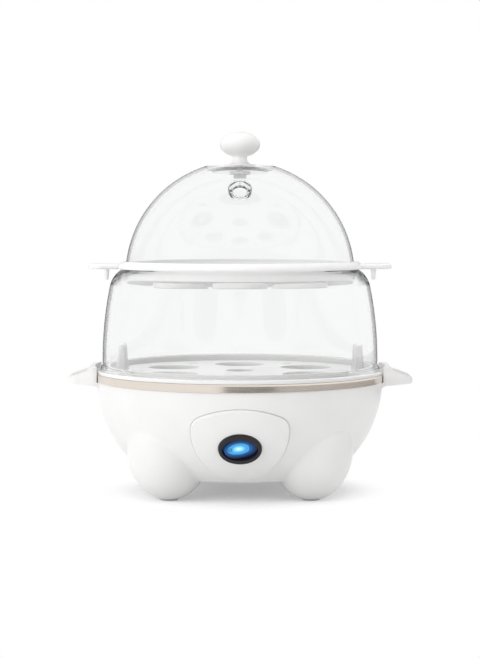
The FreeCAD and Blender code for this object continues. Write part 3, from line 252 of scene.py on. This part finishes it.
def metal(name, colour, rough, lines, depth, spread=0.08):
    """Metal with scratches that are drawn out along the axes with few lines per metre."""
    material, tree, shader = new_material(name)
    shader.inputs["Metallic"].default_value = 1.0
    scratch = noise(tree, lines, detail=4.0, rough=0.6)
    low, high = SCRATCH_ROUGH
    link(tree, varied(tree, scratch, colour, 1 - spread, 1 + spread), shader.inputs["Base Color"])
    link(tree, between(tree, scratch, rough * low, rough * high), shader.inputs["Roughness"])
    link(tree, bump(tree, scratch, depth), shader.inputs["Normal"])
    return material


CLOUD_GRAINS = 35.0
CLOUD_TONES = (0.92, 1.06)
CLOUD_ROUGH = (0.8, 1.3)


def turned_metal(name, colour, rough, rings, depth):
    """Metal with fine rings about the part's axis, as left by spinning."""
    material, tree, shader = new_material(name)
    shader.inputs["Metallic"].default_value = 1.0
    apart = add(tree, "ShaderNodeSeparateXYZ", {"Vector": own_place(tree)})
    flat = add(tree, "ShaderNodeCombineXYZ", {"X": apart.outputs["X"], "Y": apart.outputs["Y"]})
    reach = add(tree, "ShaderNodeVectorMath", {0: flat.outputs["Vector"]}, operation="LENGTH")
    along = add(tree, "ShaderNodeMath", {0: reach.outputs["Value"], 1: rings}, operation="MULTIPLY")
    ring = add(tree, "ShaderNodeTexNoise", {"W": along.outputs["Value"], "Scale": 1.0, "Detail": 3.0},
               noise_dimensions="1D").outputs["Fac"]
    cloud = noise(tree, even(CLOUD_GRAINS))
    low, high = CLOUD_ROUGH
    link(tree, varied(tree, cloud, colour, *CLOUD_TONES), shader.inputs["Base Color"])
    link(tree, between(tree, cloud, rough * low, rough * high), shader.inputs["Roughness"])
    link(tree, bump(tree, ring, depth), shader.inputs["Normal"])
    return material


def soft(name, colour, rough=0.75):
    """Rubber or silicone: matte, with a dusty mottle."""
    return moulded(name, colour, rough, grain=2200.0, depth=0.02 * MM, spread=0.06, shine=0.3)


# The switch stands on the panel in a frame of its own: right, up the panel and out of it
hinge = next(joint for joint in frame["joints"] if joint["name"] == "rocker_hinge")
SWITCH_CENTRE = Vector(hinge["pos_m"])
SWITCH_RIGHT = Vector((1, 0, 0))
SWITCH_UP = -Vector(hinge["axis"]).normalized()
SWITCH_OUT = SWITCH_RIGHT.cross(SWITCH_UP)

# The rocker's glow, as colours at shares of the way from the lamp to the glow's rim
LAMP_OFFSET = -0.7 * MM * SWITCH_RIGHT
GLOW_HALF_LENGTH = 13.8 * MM
GLOW_HALF_WIDTH = 8.2 * MM
LENS_GLOW = (
    (0.10, (0.60, 0.86, 1.00)),
    (0.21, (0.22, 0.66, 0.97)),
    (0.34, (0.03, 0.33, 0.70)),
    (0.46, (0.05, 0.38, 0.78)),
    (0.52, (0.006, 0.085, 0.29)),
    (0.66, (0.003, 0.035, 0.13)),
    (0.85, (0.001, 0.005, 0.018)),
)
# The lens's base colour, painted paler over the lamp and deep blue towards its rim: painted glow, on top of the
# emitted glow
LENS_BODY_PAINTED_GLOW = (
    (0.20, (0.05, 0.12, 0.20)),
    (0.70, (0.004, 0.012, 0.035)),
)
LENS_GRAINS = 420.0
LENS_UNEVEN = 0.06
LENS_POLISH_GRAINS = 200.0
LENS_ROUGH = (0.12, 0.2)
LENS_SHINE = 0.2


def lens(name):
    """The rocker's lit blue lens: palest over the lamp, deep blue towards its rim."""
    material, tree, shader = new_material(name)
    lamp = SWITCH_CENTRE + LAMP_OFFSET
    off = add(tree, "ShaderNodeVectorMath", {0: own_place(tree), 1: lamp}, operation="SUBTRACT")
    across = add(tree, "ShaderNodeVectorMath", {0: off.outputs["Vector"], 1: SWITCH_RIGHT / GLOW_HALF_LENGTH},
                 operation="DOT_PRODUCT")
    along = add(tree, "ShaderNodeVectorMath", {0: off.outputs["Vector"], 1: SWITCH_UP / GLOW_HALF_WIDTH},
                operation="DOT_PRODUCT")
    spot = add(tree, "ShaderNodeCombineXYZ", {"X": across.outputs["Value"], "Y": along.outputs["Value"]})
    reach = add(tree, "ShaderNodeVectorMath", {0: spot.outputs["Vector"]}, operation="LENGTH")
    uneven = add(tree, "ShaderNodeMath", {
        0: noise(tree, even(LENS_GRAINS)),
        1: LENS_UNEVEN,
        2: reach.outputs["Value"],
    }, operation="MULTIPLY_ADD").outputs["Value"]
    polish = noise(tree, even(LENS_POLISH_GRAINS))
    link(tree, ramp(tree, uneven, *LENS_GLOW), shader.inputs["Emission Color"])
    link(tree, ramp(tree, uneven, *LENS_BODY_PAINTED_GLOW), shader.inputs["Base Color"])
    link(tree, between(tree, polish, *LENS_ROUGH), shader.inputs["Roughness"])
    shader.inputs["Emission Strength"].default_value = 1.0
    shader.inputs["Specular IOR Level"].default_value = LENS_SHINE
    return material


MATERIALS = {
    "white_plastic": moulded("white_plastic", (0.86, 0.855, 0.85), rough=0.3),
    "tray_plastic": milky("tray_plastic", (0.87, 0.87, 0.865)),
    "clear_plastic": hazy(clear("clear_plastic", (0.985, 0.99, 0.99))),
    "rim_steel": metal("rim_steel", (0.80, 0.725, 0.65), rough=0.2, lines=(30.0, 30.0, 9000.0),
                       depth=0.001 * MM, spread=0.05),
    "dish_steel": turned_metal("dish_steel", (0.62, 0.61, 0.6), rough=0.24, rings=2600.0, depth=0.006 * MM),
    "silicone": soft("silicone", (0.62, 0.62, 0.61), rough=0.6),
    "foot_rubber": soft("foot_rubber", (0.55, 0.55, 0.55)),
    "cover_plastic": moulded("cover_plastic", (0.8, 0.8, 0.79), rough=0.5, grain=1500.0, depth=0.03 * MM),
    "bezel_black": moulded("bezel_black", (0.014, 0.011, 0.012), rough=0.42, grain=1800.0,
                           depth=0.003 * MM, spread=0.15, shine=0.35),
    "lens_blue": lens("lens_blue"),
    "black_plastic": moulded("black_plastic", (0.03, 0.03, 0.032), rough=0.5, grain=1400.0,
                             depth=0.03 * MM, spread=0.15),
    "lamp_glass": clear("lamp_glass", (0.7, 0.88, 1.0)),
    "element_aluminium": metal("element_aluminium", (0.66, 0.65, 0.64), rough=0.45, lines=even(700.0),
                               depth=0.03 * MM),
    "plated_steel": metal("plated_steel", (0.56, 0.57, 0.58), rough=0.32, lines=even(1200.0),
                          depth=0.01 * MM),
    "contact_brass": metal("contact_brass", (0.75, 0.55, 0.24), rough=0.3, lines=(400.0, 2500.0, 400.0),
                           depth=0.008 * MM),
    "block_plastic": moulded("block_plastic", (0.74, 0.71, 0.62), rough=0.5, grain=1500.0, depth=0.03 * MM),
}
MARK_PAINT = moulded("mark_paint", (0.006, 0.02, 0.06), rough=0.4, grain=3000.0, depth=0.002 * MM,
                     spread=0.1)

BODY_OF = {node: body for body, held in frame["record"]["behaviour"]["bodies"].items() for node in held}
SLOT_OF = {entry["node"]: entry["material_slot"] for entry in frame["record"]["subparts"]}


def dress_nodes():
    """Give each node of the frame the material of its slot."""
    for node_name, slot in SLOT_OF.items():
        shown = frame["nodes"][node_name]
        shown.data.materials.clear()
        shown.data.materials.append(MATERIALS[slot])


def new_object(name, data):
    """An object of some data, in the scene."""
    made = bpy.data.objects.new(name, data)
    bpy.context.collection.objects.link(made)
    return made


def mesh_from(shape, name):
    """A mesh of an edited shape, which is freed."""
    mesh = bpy.data.meshes.new(name)
    shape.to_mesh(mesh)
    shape.free()
    return mesh


def shape_of(node_name):
    """A node's mesh, with its doubled corners joined, to edit."""
    shape = bmesh.new()
    shape.from_mesh(frame["nodes"][node_name].data)
    bmesh.ops.remove_doubles(shape, verts=shape.verts, dist=WELD)
    return shape


def stand_for(piece, node_name):
    """Show a piece in the place of its node, on the node's body and with its finish."""
    slot = SLOT_OF[node_name]
    piece.data.materials.clear()
    piece.data.materials.append(MATERIALS[slot])
    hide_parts(node_name)
    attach(piece, BODY_OF[node_name])


MARK_PLACE = 5.6 * MM
MARK_HEIGHT = 1.1 * MM
MARK_LINE = 0.36 * MM
MARK_LIFT = 0.04 * MM
MARK_SIGHT = 20 * MM
MARK_STEPS = 48


def lens_mark(name, inner, outer, rocker):
    """A thin printed mark on the rocker: a strip between two outlines, laid on its surface."""
    shape = bmesh.new()

    def on_lens(x, y):
        above = SWITCH_CENTRE + x * SWITCH_RIGHT + y * SWITCH_UP + MARK_SIGHT * SWITCH_OUT
        spot = rocker.ray_cast(above, -SWITCH_OUT)[0]
        return shape.verts.new(spot + MARK_LIFT * SWITCH_OUT)

    near = [on_lens(*point) for point in inner]
    far = [on_lens(*point) for point in outer]
    for corners in zip(near, near[1:], far[1:], far):
        shape.faces.new(corners)
    bmesh.ops.remove_doubles(shape, verts=shape.verts, dist=WELD)
    bmesh.ops.recalc_face_normals(shape, faces=shape.faces)
    mark = new_object(name, mesh_from(shape, name))
    mark.data.materials.append(MARK_PAINT)
    thick = mark.modifiers.new("thickness", "SOLIDIFY")
    thick.thickness = MARK_LIFT
    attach(mark, "rocker")


def lay_marks():
    """The ring and bar that mark the two ends of the rocker."""
    mesh = frame["nodes"]["rocker"].data
    rocker = BVHTree.FromPolygons([v.co for v in mesh.vertices], [p.vertices for p in mesh.polygons])

    def ring(radius):
        turns = [2 * math.pi * step / MARK_STEPS for step in range(MARK_STEPS + 1)]
        return [(-MARK_PLACE + radius * math.cos(turn), radius * math.sin(turn)) for turn in turns]

    def bar(x):
        return [(x, -MARK_HEIGHT), (x, 0.0), (x, MARK_HEIGHT)]

    lens_mark("mark_off", ring(MARK_HEIGHT - MARK_LINE), ring(MARK_HEIGHT), rocker)
    lens_mark("mark_on", bar(MARK_PLACE - MARK_LINE / 2), bar(MARK_PLACE + MARK_LINE / 2), rocker)


# A screw's cross recess, as shares of its head's width
CROSS_SHARE = 0.62
CROSS_ARM_SHARE = 0.17
CROSS_DEPTH_SHARE = 0.3
CROSS_TAPER = 0.55


def cross_cutter(across):
    """A tapered cross, upright about the origin, that sinks a driver's recess into a screw's head."""
    shape = bmesh.new()
    reach = across * CROSS_SHARE / 2
    half_arm = across * CROSS_ARM_SHARE / 2
    depth = across * CROSS_DEPTH_SHARE
    plan = [(half_arm, -half_arm), (reach, -half_arm), (reach, half_arm)]
    outline = []
    for quarter in range(4):
        turn = Matrix.Rotation(quarter * math.pi / 2, 2)
        outline += [turn @ Vector(corner) for corner in plan]
    low = [shape.verts.new((*spot, -depth)) for spot in outline]
    high = [shape.verts.new((*(spot * CROSS_TAPER), depth)) for spot in outline]
    shape.faces.new(reversed(low))
    shape.faces.new(high)
    for n in range(len(outline)):
        after = (n + 1) % len(outline)
        shape.faces.new((low[n], low[after], high[after], high[n]))
    return new_object("cross_cutter", mesh_from(shape, "cross_cutter"))


def cross_screw(node_name):
    """A screw in the place of its node, with a cross recess in the head that faces down."""
    blank = new_object("screw_blank", mesh_from(shape_of(node_name), "screw_blank"))
    low, high = (Vector(corner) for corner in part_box(node_name))
    cutter = cross_cutter(high.x - low.x)
    cutter.location = ((low.x + high.x) / 2, (low.y + high.y) / 2, low.z)
    sink = blank.modifiers.new("recess", "BOOLEAN")
    sink.object = cutter
    sink.operation = "DIFFERENCE"
    sunk = blank.evaluated_get(bpy.context.evaluated_depsgraph_get())
    screw = new_object(f"{node_name}.recessed", bpy.data.meshes.new_from_object(sunk))
    for made in (blank, cutter):
        bpy.data.objects.remove(made)
    stand_for(screw, node_name)


def lay_screws():
    """Give every screw its cross recess."""
    for node_name in BODY_OF:
        if "screw" in node_name:
            cross_screw(node_name)


ROUND_NODES = ("steel_rim", "lower_dome", "lid_knob", "knob_washer")
TURN_STEPS = 256
SECTION_WELD = 0.005 * MM
SHARP_EDGE = math.radians(30)
SEAT_GAP = 0.05 * MM


def section_of(node_name):
    """A round node's section on the right of its axis: its corners in order, and the pairs that edges join."""
    cut = shape_of(node_name)
    whole = cut.verts[:] + cut.edges[:] + cut.faces[:]
    bmesh.ops.bisect_plane(cut, geom=whole, plane_co=(0, 0, 0), plane_no=(0, 1, 0),
                           clear_inner=True, clear_outer=True)
    left = [vert for vert in cut.verts if vert.co.x < -WELD]
    bmesh.ops.delete(cut, geom=left, context="VERTS")
    bmesh.ops.remove_doubles(cut, verts=cut.verts, dist=SECTION_WELD)
    spots = sorted(tuple(vert.co) for vert in cut.verts)
    pairs = sorted(sorted(spots.index(tuple(vert.co)) for vert in edge.verts) for edge in cut.edges)
    cut.free()
    return spots, pairs


def turn_again(node_name):
    """A round node turned anew from its own section, a hair clear of what it stands on or carries."""
    spots, pairs = section_of(node_name)
    low, high = (corner[2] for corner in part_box(node_name))
    spots = [Vector((x, y, min(max(z, low + SEAT_GAP), high - SEAT_GAP))) for x, y, z in spots]
    shape = bmesh.new()
    rings = []
    for step in range(TURN_STEPS):
        turn = Matrix.Rotation(2 * math.pi * step / TURN_STEPS, 3, "Z")
        rings.append([shape.verts.new(turn @ spot) for spot in spots])
    for near, far in zip(rings, rings[1:] + rings[:1]):
        for first, second in pairs:
            shape.faces.new((near[first], near[second], far[second], far[first]))
    bmesh.ops.remove_doubles(shape, verts=shape.verts, dist=WELD)
    bmesh.ops.recalc_face_normals(shape, faces=shape.faces)
    for face in shape.faces:
        face.smooth = True
    for edge in shape.edges:
        edge.smooth = edge.calc_face_angle(0.0) < SHARP_EDGE
    name = f"{node_name}.turned"
    turned = new_object(name, mesh_from(shape, name))
    turned.modifiers.new("even_shading", "WEIGHTED_NORMAL").keep_sharp = True
    stand_for(turned, node_name)


def seen_ray(tree):
    """1 for rays from the camera, a mirror or clear plastic, and 0 for the rest."""
    path = add(tree, "ShaderNodeLightPath")
    mirror = add(tree, "ShaderNodeMath", {
        0: path.outputs["Is Camera Ray"],
        1: path.outputs["Is Glossy Ray"],
    }, operation="MAXIMUM")
    seen = add(tree, "ShaderNodeMath", {
        0: mirror.outputs["Value"],
        1: path.outputs["Is Transmission Ray"],
    }, operation="MAXIMUM")
    return seen.outputs["Value"]


def product(tree, first, second):
    """Two numbers multiplied."""
    made = add(tree, "ShaderNodeMath", {0: first, 1: second}, operation="MULTIPLY")
    return made.outputs["Value"]


FLOOR_RADIUS = 3.0
FLOOR_STEPS = 96
FLOOR_COLOUR = (0.8, 0.8, 0.8, 1.0)
FLOOR_GLOW = 0.3
SHADOW_REACH = 0.06
SHADOW_FADE = 0.095


def make_floor():
    """A pale floor that keeps the shadow near the object and fades to white away from it."""
    turns = [2 * math.pi * step / FLOOR_STEPS for step in range(FLOOR_STEPS)]
    corners = [(FLOOR_RADIUS * math.cos(turn), FLOOR_RADIUS * math.sin(turn), 0.0) for turn in turns]
    floor = new_object("floor", bpy.data.meshes.new("floor"))
    floor.data.from_pydata(corners, [], [range(FLOOR_STEPS)])
    material, tree, shader = new_material("floor")
    tree.nodes.remove(shader)
    paint = add(tree, "ShaderNodeBsdfDiffuse", {"Color": FLOOR_COLOUR})
    reach = add(tree, "ShaderNodeVectorMath", {0: own_place(tree)}, operation="LENGTH")
    fade = add(tree, "ShaderNodeMapRange", {
        "Value": reach.outputs["Value"],
        "From Min": SHADOW_REACH,
        "From Max": SHADOW_FADE,
    }, interpolation_type="SMOOTHSTEP")
    seen = seen_ray(tree)
    soft_glow = add(tree, "ShaderNodeEmission", {"Strength": product(tree, seen, FLOOR_GLOW)})
    lit = add(tree, "ShaderNodeAddShader")
    link(tree, paint.outputs["BSDF"], lit.inputs[0])
    link(tree, soft_glow.outputs["Emission"], lit.inputs[1])
    white = add(tree, "ShaderNodeEmission", {"Strength": 1.0})
    mixed = add(tree, "ShaderNodeMixShader", {"Fac": product(tree, seen, fade.outputs["Result"])})
    link(tree, lit.outputs["Shader"], mixed.inputs[1])
    link(tree, white.outputs["Emission"], mixed.inputs[2])
    link(tree, mixed.outputs["Shader"], tree.nodes["Material Output"].inputs["Surface"])
    floor.data.materials.append(material)


WORLD_LIGHT = 0.57


def make_world():
    """Even soft light, with a white surround for what is seen directly, in mirrors or through plastic."""
    world = bpy.data.worlds.new("studio")
    bpy.context.scene.world = world
    world.use_nodes = True
    tree = world.node_tree
    level = add(tree, "ShaderNodeMapRange", {
        "Value": seen_ray(tree),
        "To Min": WORLD_LIGHT,
        "To Max": 1.0,
    })
    link(tree, level.outputs["Result"], tree.nodes["Background"].inputs["Strength"])
    tree.nodes["Background"].inputs["Color"].default_value = (1.0, 1.0, 1.0, 1.0)


CARD_LOW = 0.18
CARD_HIGH = 0.42


def make_card(name, corners, tones):
    """A card beside the set, with a tone at its foot and one at its top, seen only in reflections."""
    card = new_object(name, bpy.data.meshes.new(name))
    card.data.from_pydata(corners, [], [(n, n + 1, n + 3, n + 2) for n in range(0, len(corners) - 2, 2)])
    material, tree, shader = new_material(name)
    tree.nodes.remove(shader)
    level = add(tree, "ShaderNodeMapRange", {
        "Value": own_height(tree),
        "From Min": CARD_LOW,
        "From Max": CARD_HIGH,
        "To Min": tones[0],
        "To Max": tones[1],
    })
    paint = add(tree, "ShaderNodeEmission", {"Strength": level.outputs["Result"]})
    link(tree, paint.outputs["Emission"], tree.nodes["Material Output"].inputs["Surface"])
    card.data.materials.append(material)
    card.visible_camera = False
    card.visible_diffuse = False
    card.visible_shadow = False
    card.visible_volume_scatter = False
    card.visible_transmission = False


ARCH_INNER = 0.20
ARCH_OUTER = 0.55
ARCH_BACK = 0.75
ARCH_FOOT = 0.10
ARCH_STEPS = 24
ARCH_TONES = (0.04, 0.40)


def make_arch():
    """An arch behind the set, dark at its feet, whose reflections draw the edges of the clear plastic."""
    sides = (ARCH_INNER, ARCH_OUTER)
    corners = [(reach, ARCH_BACK, 0.0) for reach in sides]
    for step in range(ARCH_STEPS + 1):
        turn = math.pi * step / ARCH_STEPS
        for reach in sides:
            corners.append((reach * math.cos(turn), ARCH_BACK, ARCH_FOOT + reach * math.sin(turn)))
    corners += [(-reach, ARCH_BACK, 0.0) for reach in sides]
    make_card("card_arch", corners, ARCH_TONES)


FLOOR_CARD_NEAR = 0.4
FLOOR_CARD_FAR = 1.6
FLOOR_CARD_LIFT = 2 * MM
FLOOR_CARD_STEPS = 16

# Each floor card's first and last angle round from the front, and its tone: a dark strip in front
# of the steel band and a grey one to its right
FLOOR_CARDS = {
    "card_front": (-12.0, 26.0, 0.05),
    "card_right": (26.0, 150.0, 0.38),
}


def make_floor_cards():
    """The cards flat on the floor, mirrored in the steel band."""
    for name, (start, end, tone) in FLOOR_CARDS.items():
        corners = []
        for step in range(FLOOR_CARD_STEPS + 1):
            turn = math.radians(start + (end - start) * step / FLOOR_CARD_STEPS)
            for reach in (FLOOR_CARD_NEAR, FLOOR_CARD_FAR):
                corners.append((reach * math.sin(turn), -reach * math.cos(turn), FLOOR_CARD_LIFT))
        make_card(name, corners, (tone, tone))


def turn_to(item, target):
    """Point a lamp or camera at a place."""
    item.rotation_euler = (Vector(target) - item.location).to_track_quat("-Z", "Y").to_euler()


# Each soft box's place, size and power: a large key at the upper left, a weaker fill at the right and
# a top light
LIGHT_TARGET = (0.0, 0.0, 0.1)
SOFT_BOXES = {
    "key": ((-1.35, -0.9, 0.65), 1.1, 13.5),
    "fill": ((1.2, -0.9, 0.6), 1.1, 4.0),
    "top": ((0.0, 0.2, 1.5), 1.2, 10.0),
}


def make_lights():
    """The square soft boxes."""
    for name, (position, size, power) in SOFT_BOXES.items():
        lamp = bpy.data.lights.new(name, "AREA")
        lamp.size = size
        lamp.energy = power
        box = new_object(name, lamp)
        box.location = position
        turn_to(box, LIGHT_TARGET)
        box.visible_camera = False
        box.visible_glossy = False
        box.visible_transmission = False


# Where the photograph was taken from
CAMERA_DISTANCE = 1133 * MM
CAMERA_HEIGHT = 169.3 * MM
AIM_HEIGHT = 100.7 * MM
CAMERA_LENS = 99.4
SENSOR_WIDTH = 36.0


def make_camera():
    """The camera at the photograph's height, distance and angle."""
    optics = bpy.data.cameras.new("camera")
    optics.lens = CAMERA_LENS
    optics.sensor_width = SENSOR_WIDTH
    eye = new_object("camera", optics)
    eye.location = (0.0, -CAMERA_DISTANCE, CAMERA_HEIGHT)
    turn_to(eye, (0.0, 0.0, AIM_HEIGHT))
    bpy.context.scene.camera = eye


dress_nodes()
lay_marks()
lay_screws()
for round_node in ROUND_NODES:
    turn_again(round_node)
make_floor()
make_world()
make_arch()
make_floor_cards()
make_lights()
make_camera()
bpy.context.scene.view_settings.view_transform = "Standard"
